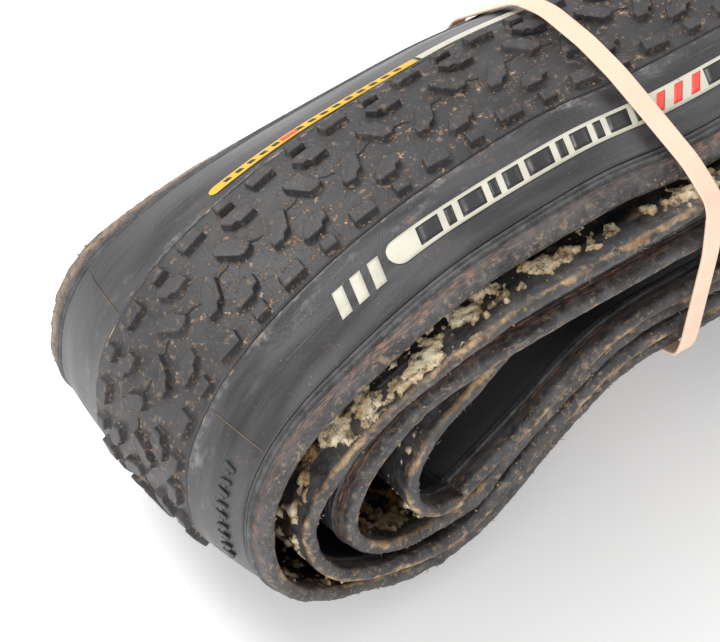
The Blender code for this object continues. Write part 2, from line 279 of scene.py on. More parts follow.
# ------ materials
def new_material(name, colour, roughness):
    """A material and its tree, with a principled shader of one colour."""
    made = bpy.data.materials.new(name)
    made.use_nodes = True
    shader = made.node_tree.nodes["Principled BSDF"]
    shader.inputs["Base Color"].default_value = (*colour, 1.0)
    shader.inputs["Roughness"].default_value = roughness
    return made, made.node_tree, shader


def feed(tree, socket, item):
    """Link an output to a socket, or set its number or colour."""
    if isinstance(item, bpy.types.NodeSocket):
        tree.links.new(item, socket)
    elif isinstance(item, tuple) and len(item) == 3 and socket.type == "RGBA":
        socket.default_value = (*item, 1.0)
    else:
        socket.default_value = item


def noise_over(tree, places, scale, detail, rough=0.5):
    """A noise texture over the given places."""
    made = tree.nodes.new("ShaderNodeTexNoise")
    for key, number in (("Scale", scale), ("Detail", detail), ("Roughness", rough)):
        made.inputs[key].default_value = number
    tree.links.new(places, made.inputs["Vector"])
    return made.outputs["Fac"]


def noise(tree, scale, detail=4.0, stretch=(1.0, 1.0, 1.0), rough=0.55):
    """Noise in object space; scale is in features per metre."""
    coords = tree.nodes.new("ShaderNodeTexCoord")
    mapping = tree.nodes.new("ShaderNodeMapping")
    mapping.inputs["Scale"].default_value = stretch
    tree.links.new(coords.outputs["Object"], mapping.inputs["Vector"])
    return noise_over(tree, mapping.outputs["Vector"], scale, detail, rough)


def strand_noise(tree, scale_along, scale_across, detail=3.0):
    """Noise in the tire's own (s, w) plane; scales are in features per millimetre."""
    parts = tree.nodes.new("ShaderNodeCombineXYZ")
    for key, name, scale in (("X", "along", scale_along), ("Y", "across", scale_across)):
        feed(tree, parts.inputs[key], product(tree, attribute(tree, name), scale))
    return noise_over(tree, parts.outputs["Vector"], 1.0, detail)


def attribute(tree, name):
    """A number stored on the vertices."""
    node = tree.nodes.new("ShaderNodeAttribute")
    node.attribute_name = name
    return node.outputs["Fac"]


def math_node(tree, operation, first, second=0.5):
    """One arithmetic step."""
    node = tree.nodes.new("ShaderNodeMath")
    node.operation = operation
    feed(tree, node.inputs[0], first)
    feed(tree, node.inputs[1], second)
    return node.outputs[0]


def ramp(tree, item, low, high, to_low=0.0, to_high=1.0):
    """The item's range low..high stretched to to_low..to_high, and clamped."""
    node = tree.nodes.new("ShaderNodeMapRange")
    node.interpolation_type = "SMOOTHSTEP"
    feed(tree, node.inputs["Value"], item)
    for key, number in (("From Min", low), ("From Max", high), ("To Min", to_low),
                        ("To Max", to_high)):
        node.inputs[key].default_value = number
    return node.outputs["Result"]


def speckle(tree, scale, detail, rough, low, high, *to):
    """Noise stretched by ramp()."""
    return ramp(tree, noise(tree, scale, detail, rough=rough), low, high, *to)


def mix(tree, factor, first, second):
    """Colour mix."""
    node = tree.nodes.new("ShaderNodeMix")
    node.data_type = "RGBA"
    feed(tree, node.inputs[0], factor)
    feed(tree, node.inputs[6], first)
    feed(tree, node.inputs[7], second)
    return node.outputs[2]


def bump(tree, shader, height, distance_mm, strength=1.0):
    """Bump from a height from 0 to 1."""
    node = tree.nodes.new("ShaderNodeBump")
    node.inputs["Strength"].default_value = strength
    node.inputs["Distance"].default_value = distance_mm * MM
    tree.links.new(height, node.inputs["Height"])
    tree.links.new(node.outputs["Normal"], shader.inputs["Normal"])


BLACK = (0.022, 0.022, 0.024)
GREY = (0.046, 0.045, 0.048)
DUST = (0.20, 0.175, 0.15)
TAN = (0.50, 0.35, 0.22)
BROWN = (0.16, 0.085, 0.042)


def coat(tree, shader, colour, rough=None):
    """Feed the shader's colour and, where it varies, its roughness."""
    feed(tree, shader.inputs["Base Color"], colour)
    if rough is not None:
        feed(tree, shader.inputs["Roughness"], rough)


def product(tree, *items):
    """Product of several numbers."""
    total = items[0]
    for item in items[1:]:
        total = math_node(tree, "MULTIPLY", total, item)
    return total


def tread_rubber():
    """Matt black rubber, dusty, with tan dirt where the dirt attribute asks for it."""
    made, tree, shader = new_material("tread_rubber_worn", BLACK, 0.58)
    cloudy = noise(tree, 90.0, 5.0)
    base = mix(tree, ramp(tree, cloudy, 0.35, 0.7), (0.030, 0.029, 0.031), (0.050, 0.048, 0.050))
    film = speckle(tree, 700.0, 6.0, 0.75, 0.55, 0.72, 0.0, 0.5)
    dusty = mix(tree, film, base, (0.105, 0.098, 0.095))
    spots = product(tree, attribute(tree, "dirt"),
                    speckle(tree, 620.0, 7.0, 0.75, 0.53, 0.60))
    tan = mix(tree, ramp(tree, noise(tree, 500.0), 0.35, 0.65), TAN, BROWN)
    coat(tree, shader, mix(tree, spots, dusty, tan), ramp(tree, cloudy, 0.3, 0.75, 0.44, 0.66))
    fine = math_node(tree, "ADD", noise(tree, 1500.0, 5.0), product(tree, spots, 0.8))
    bump(tree, shader, fine, 0.22, 0.7)
    return made


def sidewall_rubber():
    """Smooth rubber with a sheen, cord lines, rubs and dust; painted shade darkens it inside the
    roll.
    """
    made, tree, shader = new_material("sidewall_rubber_worn", GREY, 0.45)
    cloudy = strand_noise(tree, 0.035, 0.20, 5.0)
    base = mix(tree, ramp(tree, cloudy, 0.35, 0.7), (0.026, 0.025, 0.027), (0.060, 0.058, 0.061))
    haze = product(tree, ramp(tree, strand_noise(tree, 0.09, 0.25, 6.0), 0.50, 0.68),
                   speckle(tree, 480.0, 7.0, 0.8, 0.40, 0.66),
                   ramp(tree, math_node(tree, "ABSOLUTE", attribute(tree, "across")), 27.0, 18.0))
    hazy = mix(tree, haze, base, (0.21, 0.20, 0.20))
    streaks = ramp(tree, strand_noise(tree, 0.05, 1.9, 6.0), 0.57, 0.76, 0.0, 0.30)
    rubbed = mix(tree, streaks, hazy, (0.16, 0.155, 0.15))
    specks = speckle(tree, 1100.0, 3.0, 0.55, 0.69, 0.75, 0.0, 0.7)
    dotted = mix(tree, specks, rubbed, DUST)
    stain = product(tree, speckle(tree, 60.0, 5.0, 0.55, 0.56, 0.72),
                    speckle(tree, 650.0, 6.0, 0.75, 0.50, 0.64), 0.7)
    stained = mix(tree, stain, dotted, (0.26, 0.15, 0.08))
    edge = product(tree, attribute(tree, "dirt"),
                   ramp(tree, strand_noise(tree, 0.30, 1.3, 6.0), 0.56, 0.66), 0.8)
    along = attribute(tree, "along")
    # painted shade: along this stretch of the strands deep inside the roll, the sidewall colour
    # is pulled towards near black
    painted_roll_shade = product(tree, ramp(tree, along, 1040.0, 1080.0),
                        ramp(tree, along, 1530.0, 1490.0), 0.82)
    edged = mix(tree, edge, stained, TAN)
    coat(tree, shader, mix(tree, painted_roll_shade, edged, (0.010, 0.010, 0.011)),
         ramp(tree, cloudy, 0.3, 0.7, 0.34, 0.50))
    slant = math_node(tree, "ADD", along, product(tree, attribute(tree, "across"), 0.8))
    cords = math_node(tree, "SINE", product(tree, slant, 7.0))
    height = math_node(tree, "ADD", product(tree, cords, 0.045), noise(tree, 1100.0, 5.0))
    bump(tree, shader, height, 0.10, 0.6)
    return made


def bead_rubber(name, dust_from, dustiness):
    """Dark ribbed chafer with a rusty line, dust, and old sealant gathered on its edges."""
    made, tree, shader = new_material(name, GREY, 0.6)
    across = math_node(tree, "ABSOLUTE", attribute(tree, "across"))
    depth = attribute(tree, "depth")
    cloudy = noise(tree, 220.0, 6.0, rough=0.65)
    grey = mix(tree, ramp(tree, cloudy, 0.35, 0.68), (0.026, 0.025, 0.026), (0.085, 0.082, 0.082))
    scratch = ramp(tree, strand_noise(tree, 0.5, 2.6, 6.0), 0.56, 0.72, 0.0, 0.55)
    scratched = mix(tree, scratch, grey, (0.20, 0.18, 0.165))
    rust_zone = product(tree, ramp(tree, across, 38.9, 39.6), ramp(tree, across, 42.6, 40.4),
                        ramp(tree, depth, -0.6, 0.0))
    rust = product(tree, rust_zone, ramp(tree, strand_noise(tree, 0.35, 1.8, 6.0), 0.44, 0.62))
    worn_rust = product(tree, rust, speckle(tree, 45.0, 4.0, 0.55, 0.38, 0.62, 0.25, 0.85))
    rusty = mix(tree, worn_rust, scratched, (0.27, 0.135, 0.085))
    crumbly = speckle(tree, 520.0, 7.0, 0.78, 0.95 - 0.6 * dustiness, 0.62)
    dust = product(tree, ramp(tree, across, dust_from, dust_from + 2.0), crumbly, dustiness)
    dusty = mix(tree, dust, rusty, (0.29, 0.20, 0.125))
    wander = product(tree, math_node(tree, "SUBTRACT", noise(tree, 130.0, 6.0, rough=0.7), 0.5),
                     7.0)
    inner_edge = ramp(tree, math_node(tree, "SUBTRACT", wander, depth), 1.5, 2.6)
    toe = product(tree, inner_edge, ramp(tree, across, 42.3, 43.4),
                  speckle(tree, 75.0, 5.0, 0.65, 0.42, 0.58, 0.12, 1.0))
    amber = mix(tree, speckle(tree, 420.0, 6.0, 0.7, 0.36, 0.64),
                (0.54, 0.38, 0.20), (0.24, 0.125, 0.05))
    shiny = product(tree, ramp(tree, across, 37.5, 38.1), ramp(tree, across, 39.0, 38.6), 0.22)
    rough = math_node(tree, "SUBTRACT", ramp(tree, cloudy, 0.3, 0.7, 0.42, 0.72), shiny)
    coat(tree, shader, mix(tree, product(tree, toe, 0.8), dusty, amber), rough)
    bump(tree, shader, noise(tree, 1300.0, 6.0, rough=0.7), 0.28, 0.8)
    return made


def liner_rubber():
    """Inner face: smooth dark butyl, with brown residue where the folds are tight."""
    made, tree, shader = new_material("liner_rubber_smooth", (0.02, 0.02, 0.021), 0.42)
    film = strand_noise(tree, 0.10, 0.25, 6.0)
    shader.inputs["Specular IOR Level"].default_value = 0.30
    base = mix(tree, ramp(tree, film, 0.40, 0.72), (0.009, 0.009, 0.010), (0.036, 0.035, 0.036))
    residue = product(tree, attribute(tree, "residue"),
                      speckle(tree, 170.0, 7.0, 0.72, 0.47, 0.60))
    gold = mix(tree, speckle(tree, 380.0, 6.0, 0.75, 0.36, 0.62),
               (0.46, 0.27, 0.10), (0.030, 0.018, 0.010))
    soiled = mix(tree, residue, base, gold)
    specks = speckle(tree, 1000.0, 5.0, 0.75, 0.64, 0.71, 0.0, 0.8)
    coat(tree, shader, mix(tree, specks, soiled, (0.36, 0.31, 0.24)),
         ramp(tree, film, 0.35, 0.7, 0.36, 0.58))
    bump(tree, shader, noise(tree, 700.0, 6.0, rough=0.7), 0.25, 0.8)
    return made


def sealant_crust():
    """Dried sealant, cream to tan, with brown dirt in it."""
    made, tree, shader = new_material("sealant_crust", (0.78, 0.62, 0.38), 0.6)
    soft = noise(tree, 200.0, 6.0, rough=0.68)
    colour = mix(tree, ramp(tree, soft, 0.38, 0.62), (0.88, 0.77, 0.55), (0.66, 0.47, 0.24))
    aged = mix(tree, attribute(tree, "aged"), colour, (0.20, 0.11, 0.045))
    spots = speckle(tree, 420.0, 8.0, 0.82, 0.50, 0.58, 0.0, 0.9)
    coat(tree, shader, mix(tree, spots, aged, (0.10, 0.065, 0.04)),
         ramp(tree, soft, 0.3, 0.7, 0.40, 0.75))
    bump(tree, shader, noise(tree, 1100.0, 7.0, rough=0.75), 0.5, 0.9)
    return made


def transfer(name, colour):
    """Printed transfer, scuffed and a little dirty."""
    made, tree, shader = new_material(name, colour, 0.42)
    tone = mix(tree, speckle(tree, 130.0, 5.0, 0.55, 0.35, 0.7), colour,
               tuple(0.84 * part for part in colour))
    scuff = speckle(tree, 900.0, 6.0, 0.75, 0.63, 0.70, 0.0, 0.85)
    coat(tree, shader, mix(tree, scuff, tone, (0.06, 0.055, 0.05)),
         ramp(tree, noise(tree, 300.0), 0.3, 0.7, 0.34, 0.55))
    bump(tree, shader, noise(tree, 1600.0, 4.0), 0.05, 0.5)
    return made


def band_latex():
    """Peach-pink latex with a faint bloom."""
    made, tree, shader = new_material("band_latex", (0.86, 0.60, 0.46), 0.42)
    bloom = noise(tree, 110.0, 5.0)
    colour = mix(tree, ramp(tree, bloom, 0.35, 0.7), (0.87, 0.61, 0.47), (0.85, 0.575, 0.43))
    specks = speckle(tree, 1200.0, 4.0, 0.55, 0.67, 0.74, 0.0, 0.35)
    coat(tree, shader, mix(tree, specks, colour, (0.76, 0.44, 0.30)),
         ramp(tree, bloom, 0.3, 0.7, 0.34, 0.52))
    bump(tree, shader, noise(tree, 900.0, 5.0, (0.3, 1.0, 1.0)), 0.06, 0.6)
    return made


def crumb_material(name, light, dark):
    """Rough material of two colours: loose dirt, fibre and seam dirt, and also the painted shade
    of the tread slits.
    """
    made, tree, shader = new_material(name, light, 0.9)
    coat(tree, shader, mix(tree, noise(tree, 400.0, 4.0), light, dark))
    bump(tree, shader, noise(tree, 1800.0, 4.0), 0.15, 0.8)
    return made


def floor_material():
    """Pale seamless paper."""
    made, tree, shader = new_material("pale_paper", (0.97, 0.97, 0.97), 0.7)
    coat(tree, shader,
         mix(tree, noise(tree, 30.0, 3.0), (0.98, 0.98, 0.98), (0.965, 0.965, 0.965)))
    shader.inputs["Emission Color"].default_value = (1.0, 1.0, 1.0, 1.0)
    shader.inputs["Emission Strength"].default_value = 0.14
    return made


# ------ tread blocks
PITCH_COUNT = 97
PITCH = LENGTH / PITCH_COUNT
HALF_PITCH = PITCH / 2
FIRST_BLOCK = 9.2      # where the far row starts

# Where each block's centre is in the pattern, and its outline round that centre
BLOCKS = {
    "outer_bar": ((0.0, 13.4), [(-3.1, -1.7), (2.9, -1.7), (3.4, 1.4), (-2.6, 1.6)]),
    "outer_stud": ((10.3, 14.0), [(-1.9, -1.4), (1.8, -1.4), (2.0, 1.2), (-1.5, 1.4)]),
    "shoulder": ((9.8, 7.9), [(-3.7, -1.9), (0.2, -2.1), (0.9, -1.1), (2.3, -1.0), (3.9, 1.4),
                              (3.0, 2.3), (-0.9, 2.2), (-1.7, 1.0), (-3.3, 0.6)]),
    "centre_bar": ((-4.4, 2.4), [(-4.1, -2.7), (-2.9, -3.6), (-0.6, -3.5), (3.1, 1.6),
                                 (3.0, 3.1), (0.4, 3.5), (-0.6, 2.2), (-1.9, 1.9)]),
}


def block_places():
    """(kind, s, side) of every block; the far and near halves are half a pitch apart."""
    places = []
    for k in range(PITCH_COUNT):
        for kind, ((along, _), _) in BLOCKS.items():
            far = FIRST_BLOCK + k * PITCH + along
            places.append((kind, far, 1))
            places.append((kind, far + HALF_PITCH, -1))
    return places


BLOCK_BEVEL = 0.08       # below the top, where the worn bevel starts
BLOCK_SHOULDER = 0.30    # below the top, where the drafted sides end
CORNER_SHARE = 1.3       # how much further a corner moves than the side it ends
RING_DIRT = (0.9, 0.5, 0.15, 0.3, 0.25)      # from the foot up


def block_rings(kind, s, side, turn, height):
    """Outlines of one block from its foot to its top, as (s, w, offset) rows."""
    (_, middle), outline = BLOCKS[kind]
    size = max(math.hypot(*p) for p in outline)
    levels = ((-0.25, 0.40), (0.35, 0.12), (height - BLOCK_SHOULDER, 0.0),
              (height - BLOCK_BEVEL, -0.13), (height, -0.38))
    rings = []
    for level, grow in levels:
        scale = 1.0 + grow / size * CORNER_SHARE
        rings.append([(s + scale * (a * math.cos(turn) - b * math.sin(turn)),
                       side * (middle + scale * (a * math.sin(turn) + b * math.cos(turn))),
                       level) for a, b in outline])
    return rings


def make_blocks(finish):
    """All the tread blocks: drafted sides, a worn bevel and a slightly uneven top."""
    verts, faces, dirt = [], [], []
    start = 0
    for kind, s, side in block_places():
        turn = rng.normal(0.0, 0.03)
        height = KNOB_HEIGHT - abs(rng.normal(0.0, 0.10))
        rings = block_rings(kind, s, side, turn, height)
        count = len(rings[0])
        flat = np.array(rings).reshape(-1, 3)
        verts.append(place(flat[:, 0], flat[:, 1], flat[:, 2]))
        dirt += [share for share in RING_DIRT for _ in range(count)]
        for ring in range(len(rings) - 1):
            low = start + ring * count
            for k in range(count):
                m = (k + 1) % count
                quad = [low + k, low + m, low + count + m, low + count + k]
                faces.append(quad if side > 0 else quad[::-1])
        top = [start + (len(rings) - 1) * count + k for k in range(count)]
        faces.append(top if side > 0 else top[::-1])
        start += len(flat)
    thing = make_mesh("tread_blocks", np.vstack(verts), faces, finish, False)
    tag(thing, "dirt", dirt)
    return thing


SLIT_STEPS = 9
SLIT_RIM = 0.11          # height of a crack's lips above the tread's base
SLIT_FLOOR = 0.03


def make_slits(finish):
    """Short open cracks slanting across the middle of the tread, as shallow near-black sheets
    whose colour is painted shade for the cracks' depth.
    """
    verts, faces = [], []
    for k in range(2 * PITCH_COUNT):
        s = FIRST_BLOCK + k * HALF_PITCH + rng.normal(0.0, 0.4)
        tilt = (0.7 if k % 2 else -0.3) + rng.normal(0.0, 0.15)
        half = rng.uniform(1.5, 2.6)
        width = rng.uniform(0.14, 0.32)
        u = np.linspace(-1.0, 1.0, SLIT_STEPS)
        bend = 0.18 * np.sin(u * 4.0 + k)
        middle = 0.5 + tilt * u + bend
        open_half = width * (1.0 - u ** 2) ** 0.7
        rows = [place(s + half * u, middle - open_half, SLIT_RIM),
                place(s + half * u, middle, SLIT_FLOOR),
                place(s + half * u, middle + open_half, SLIT_RIM)]
        verts.append(np.stack(rows, 1).reshape(-1, 3))
        faces += (grid_faces(SLIT_STEPS, len(rows)) + SLIT_STEPS * len(rows) * k).tolist()
    thing = make_mesh("tread_slits", np.vstack(verts), faces, finish)
    return thicken(thing, 0.15, -1.0)


def dirt_round_blocks(s, w):
    """1 on the tread beside the blocks, falling to 0 away from them."""
    total = np.zeros(np.broadcast(s, w).shape)
    for side in (1, -1):
        for (along, middle), outline in BLOCKS.values():
            half_long = max(a for a, _ in outline)
            half_wide = max(b for _, b in outline)
            phase = FIRST_BLOCK + along + (0.0 if side > 0 else HALF_PITCH)
            ds = (s - phase + HALF_PITCH) % PITCH - HALF_PITCH
            away = np.sqrt((ds / (half_long + 0.5)) ** 2
                           + ((side * w - middle) / (half_wide + 0.5)) ** 2)
            total = np.maximum(total, np.exp(-((away - 1.15) / 0.42) ** 2))
    patchy = layered(s, w, 14.0, 5)
    seam = 0.9 * np.exp(-((w - 0.3) / 0.5) ** 2)
    bias = np.interp(w, [-17, -5, 4, 17], [1.0, 1.0, 0.7, 0.45])
    return np.clip(np.maximum(total, seam) * bias * (0.25 + 1.5 * patchy), 0.0, 1.0)


def make_tread(finish):
    """The tread's base surface between the parting lines, and its mould seam."""
    edge = TREAD_HALF - 0.1
    outer = [(w, 0.0) for w in np.linspace(-edge, edge, 42)]
    inner = [(w, -1.6) for w in np.linspace(edge, -edge, 8)]

    def roughen(s, w, offset):
        top = offset > -1.0
        seam = np.exp(-(w / 0.30) ** 2) * (0.30 * (layered(s, w * 0, 5.0, 3) > 0.48))
        wave = 0.16 * (layered(s, w, 6.0, 2) - 0.5)
        return np.where(top, wave - seam, 0.0)

    thing = ribbon("tread_base", outer + inner, finish, 1.0, roughen)
    s, w = numbers_of(thing, "along"), numbers_of(thing, "across")
    tag(thing, "dirt", dirt_round_blocks(s, w))
    return thing


# ------ sidewalls, beads, liner
def wall_wave(s, w):
    """Gentle unevenness of the sidewalls, which the transfers follow."""
    return 0.30 * (layered(s, w, 22.0, 9) - 0.5)


def make_sidewall(name, side, finish):
    """One sidewall from the parting line to the chafer."""
    outer = [(17.0, -0.5), (17.25, -0.15), (17.5, 0.10), (17.9, 0.14), (18.4, 0.04)]
    outer += [(float(w), 0.0) for w in range(20, 34, 2)]
    outer += [(34.0, 0.02), (35.4, 0.06), (36.1, 0.12), (36.4, 0.0)]
    inner = [(36.4, -2.0), (30.0, -1.9), (24.0, -1.9), (17.0, -1.9)]
    profile = [(side * w, offset) for w, offset in outer + inner]

    def roughen(s, w, offset):
        wave = wall_wave(s, w) + 0.08 * (layered(s, w, 4.0, 4) - 0.5)
        return np.where(offset > -1.0, wave * (np.abs(w) > 18.0), 0.0)

    thing = ribbon(name, profile, finish, 1.4, roughen)
    tag(thing, "dirt", np.exp(-((np.abs(numbers_of(thing, "across")) - 17.3) / 0.6) ** 2))
    return thing


def make_bead(name, side, finish):
    """One bead: chafer ribs, a ragged toe and the rounded inner heel."""
    outer = [(36.2, -0.4), (36.5, -0.25), (36.7, 0.25), (37.1, 0.34), (37.4, 0.28), (37.6, 0.02),
             (37.8, 0.30), (38.0, 0.62), (38.35, 0.74), (38.7, 0.62), (38.9, 0.25), (39.2, 0.18),
             (39.4, 0.42), (39.7, 0.22), (40.0, 0.24), (40.3, 0.46), (40.9, 0.52), (41.5, 0.55),
             (42.1, 0.52), (42.7, 0.46), (43.2, 0.30), (43.6, -0.05)]
    inner = [(43.85, -0.5), (44.0, -1.0), (44.0, -1.5), (43.9, -2.0), (43.7, -2.4), (43.3, -2.7),
             (42.8, -2.85), (42.0, -2.85), (41.0, -2.9), (40.0, -2.85), (39.0, -2.8),
             (38.0, -2.65), (37.0, -2.45), (36.2, -2.2)]
    profile = [(side * w, offset) for w, offset in outer + inner]

    def roughen(s, w, offset):
        toe = np.clip((np.abs(w) - 40.6) / 2.4, 0.0, 1.0)
        coarse = 0.8 * (layered(s, w * 2.0, 4.5, 11) - 0.5)
        fine = 0.45 * (layered(s, w * 3.0, 1.1, 12) - 0.5)
        lumps = 1.6 * np.clip(layered(s, w * 0.7, 7.0, 14) - 0.60, 0.0, 0.3)
        return np.where(offset > -2.3, toe * (coarse + fine), 0.5 * coarse + fine * 0.5 - lumps)

    return ribbon(name, profile, finish, 0.8, roughen)


def make_liner(finish):
    """The airtight inner face, which faces its twin inside the folded double strand."""
    outer = [(w, -2.0) for w in np.linspace(-36.8, 36.8, 12)]
    inner = [(w, INNER_FACE) for w in np.linspace(36.8, -36.8, 44)]

    def roughen(s, w, offset):
        return np.where(offset < -2.2, 0.20 * (layered(s, w, 9.0, 20) - 0.5), 0.0)

    thing = ribbon("inner_liner_face", outer + inner, finish, 1.6, roughen)
    s = numbers_of(thing, "along")
    soiled = in_range(s, 740.0, 960.0) + in_range(s, 1650.0, 1760.0)
    tag(thing, "residue", np.clip(0.15 + soiled, 0.0, 1.0))
    return thing


# ------ sealant, dirt and fibres
MIDDLE_FOLD = (780.0, 915.0)      # the stretch where the middle strand folds back
HEEL = 36.2              # where the bead's inner heel starts, across
BARE_HALF = 20.5         # no flakes nearer to the crown than this
SPECK_COUNT = 6500
CRUMB_COUNT = 2600
GRIT_COUNT = 5200
FIBRE_COUNT = 5200

# Dried pools of sealant: middle s and w, half length, half width
DEPOSITS = (
    (1708.0, -31.0, 9.0, 5.0), (1737.0, -36.0, 6.0, 5.0), (1751.0, -36.5, 4.0, 4.0),
    (1760.0, -38.0, 2.5, 3.0), (1772.0, -40.0, 7.0, 2.6), (1787.0, -35.5, 4.5, 3.5),
    (1806.0, -35.0, 6.0, 3.6), (1820.0, -36.0, 6.5, 3.4), (1840.0, -37.0, 8.0, 3.0),
    (836.0, -34.0, 12.0, 6.0), (858.0, -31.0, 9.0, 5.0), (893.0, -33.0, 8.0, 4.0),
    (1690.0, 33.0, 12.0, 5.0), (1765.0, 35.0, 14.0, 4.0), (1840.0, 34.0, 10.0, 5.0),
    (700.0, -35.0, 11.0, 4.0), (640.0, 34.0, 12.0, 4.0), (860.0, 34.0, 14.0, 5.0))


def heel_drop(w, depth):
    """How far the bead's inner heel stands in from the liner's face."""
    return np.clip((np.abs(w) - HEEL) / 2.0, 0.0, 1.0) * depth


def make_sealant(finish):
    """Torn flakes of dried sealant on the inner face and along the beads."""
    step = 0.6
    rows = int(LENGTH / step)
    widths = np.concatenate([-np.arange(43.0, 20.0, -step), np.arange(20.0, 43.4, step)])
    s = (np.arange(rows) * step)[:, None]
    w = widths[None, :]
    patch = (layered(s, w, 12.0, 30) * 0.34 + layered(s, w, 3.6, 33) * 0.36
             + layered(s, w, 1.6, 39) * 0.30)
    for middle_s, middle_w, half_long, half_wide in DEPOSITS:
        patch = patch + 0.17 * np.exp(-((s - middle_s) / half_long) ** 2
                                      - ((w - middle_w) / half_wide) ** 2)
    near_bead = np.exp(-((np.abs(w) - 36.0) / 6.0) ** 2)
    height = np.clip((patch - 0.595 + 0.03 * near_bead) * 11.0, -0.3, 0.85)
    lumps = 0.5 * height * layered(s, w, 1.8, 36)
    verts = place(s, w, INNER_FACE - heel_drop(w, 0.5) - height - lumps)
    faces = grid_faces(rows, len(widths), True, False)
    keep = height.reshape(-1)[faces].max(1) > 0.02
    bare = np.abs(widths[:-1]) + np.abs(widths[1:]) < 2.0 * BARE_HALF
    keep &= ~np.tile(bare, rows)
    faces = faces[keep]
    used, compact = np.unique(faces, return_inverse=True)
    thing = make_mesh("sealant_flakes", verts.reshape(-1, 3)[used],
                      compact.reshape(-1, 4).tolist(), finish)
    brown = np.where((s > MIDDLE_FOLD[0]) & (s < MIDDLE_FOLD[1]), 0.7, 0.0)
    thin = np.clip(0.75 - height / 0.35, 0.0, 0.75)
    aged = np.clip(brown + thin + (layered(s, w, 11.0, 40) - 0.50) * 1.4, 0.0, 0.9)
    tag(thing, "aged", aged.reshape(-1)[used])
    return thing


def scattered(name, spots, sizes, finish):
    """Small irregular lumps; spots holds a row each of s, w and offset."""
    shape = np.array([(1, 0, -0.4), (0.3, 0.9, -0.4), (-0.8, 0.5, -0.4), (-0.7, -0.6, -0.4),
                      (0.4, -0.9, -0.4), (0.5, 0.1, 0.6), (-0.4, 0.3, 0.8), (-0.1, -0.5, 0.5)])
    faces_of_one = [(0, 1, 5), (1, 2, 6), (1, 6, 5), (2, 3, 6), (3, 7, 6), (3, 4, 7), (4, 0, 5),
                    (4, 5, 7), (5, 6, 7), (0, 4, 3, 2, 1)]
    s, w, offset = spots
    count = len(s)
    turn = rng.uniform(0.0, 2.0 * math.pi, count)[:, None]
    wobble = rng.uniform(0.6, 1.3, (count, len(shape)))
    size = np.asarray(sizes)[:, None]
    a = shape[None, :, 0] * wobble * size
    b = shape[None, :, 1] * wobble * size
    along = a * np.cos(turn) - b * np.sin(turn)
    across = a * np.sin(turn) + b * np.cos(turn)
    up = shape[None, :, 2] * wobble * size * 0.8
    verts = place(s[:, None] + along, w[:, None] + across, offset[:, None] + up)
    faces = [[k * len(shape) + i for i in face] for k in range(count) for face in faces_of_one]
    return make_mesh(name, verts, faces, finish)


def make_specks(finish):
    """Specks of dried sealant round the flakes."""
    count = SPECK_COUNT
    s = rng.uniform(0.0, LENGTH, count)
    side = rng.choice([-1.0, 1.0], count)
    w = side * rng.uniform(24.0, 43.2, count)
    wanted = layered(s, w, 15.0, 30) + rng.uniform(0.0, 0.18, count) > 0.60
    sizes = rng.uniform(0.07, 0.30, count) ** 1.2
    offset = INNER_FACE - heel_drop(w, 0.45) - 0.05
    spots = np.stack([s, w, offset])[:, wanted]
    return scattered("sealant_specks", spots, sizes[wanted], finish)


def make_crumbs(finish):
    """Dirt caught beside the tread blocks."""
    found, sizes = [], []
    while len(found) < CRUMB_COUNT:
        s = rng.uniform(0.0, LENGTH)
        w = rng.uniform(-17.0, 16.0)
        if rng.random() < dirt_round_blocks(np.array([s]), np.array([w]))[0] ** 1.5:
            found.append((s, w, 0.1))
            sizes.append(rng.uniform(0.12, 0.42))
    return scattered("dirt_crumbs", np.array(found).T, sizes, finish)


def make_bead_crumbs(finish):
    """Brown grit stuck along both bead toes."""
    count = GRIT_COUNT
    s = rng.uniform(0.0, LENGTH, count)
    side = rng.choice([-1.0, 1.0], count)
    w = side * rng.uniform(40.4, 43.9, count)
    lift = rng.uniform(-1.4, 0.45, count)
    wanted = layered(s, w, 26.0, 56) + np.where(side > 0, 0.14, 0.0) > 0.47
    sizes = rng.uniform(0.12, 0.50, count) ** 1.1
    spots = np.stack([s, w, lift])[:, wanted]
    return scattered("bead_crumbs", spots, sizes[wanted], finish)


def make_fibres(finish):
    """Torn casing fibres and rubber shreds along both bead toes."""
    verts, faces = [], []
    count = FIBRE_COUNT
    s = rng.uniform(0.0, LENGTH, count)
    side = rng.choice([-1.0, 1.0], count)
    base_w = side * rng.uniform(42.0, 43.8, count)
    base_off = rng.uniform(-1.8, 0.4, count)
    reach = rng.uniform(0.25, 1.0, count) * (0.5 + layered(s, s * 0, 20.0, 50))
    drift = rng.normal(0.0, 0.8, count)
    lift = rng.normal(0.1, 0.5, count)
    half = rng.uniform(0.06, 0.20, count)
    corners = [(-half, 0.0, -0.06), (half, 0.0, -0.06), (0.0, 0.0, 0.14)]
    for along, across, up in corners:
        verts.append(place(s + along, base_w + across, base_off + up))
    verts.append(place(s + drift * reach, base_w + side * reach * 0.8, base_off + lift * reach))
    stacked = np.stack(verts, 1)
    for k in range(count):
        a = 4 * k
        faces += [(a, a + 2, a + 1), (a, a + 1, a + 3), (a + 1, a + 2, a + 3), (a + 2, a, a + 3)]
    return make_mesh("bead_fibres", stacked, faces, finish, False)


# ------ transfers
SEAM = 237.5            # where the mould's joint line crosses the tire
PRINT_THICK = 0.12
INK_THICK = 0.10
MARK_THICK = 0.5        # the raised dashes
PRINT_LIFT = 0.16       # of a transfer, and of what is printed on it, above the sidewall
INK_LIFT = 0.26
PATCH_ACROSS = 7        # points across a strip
BAR_LENGTHWISE, BAR_ACROSS = 4, 6     # points along and across a bar


def on_wall(name, grids, lift, thickness, finish, leaning=False):
    """Thin patches that follow the sidewall; each is a grid of s and one of w."""
    verts, faces = [], []
    start = 0
    for s, w in grids:
        verts.append(place(s, w, lift + wall_wave(s, w), leaning).reshape(-1, 3))
        faces += (grid_faces(*w.shape) + start).tolist()
        start += w.size
    thing = make_mesh(name, np.vstack(verts), faces, finish)
    return thicken(thing, thickness, 0.0)


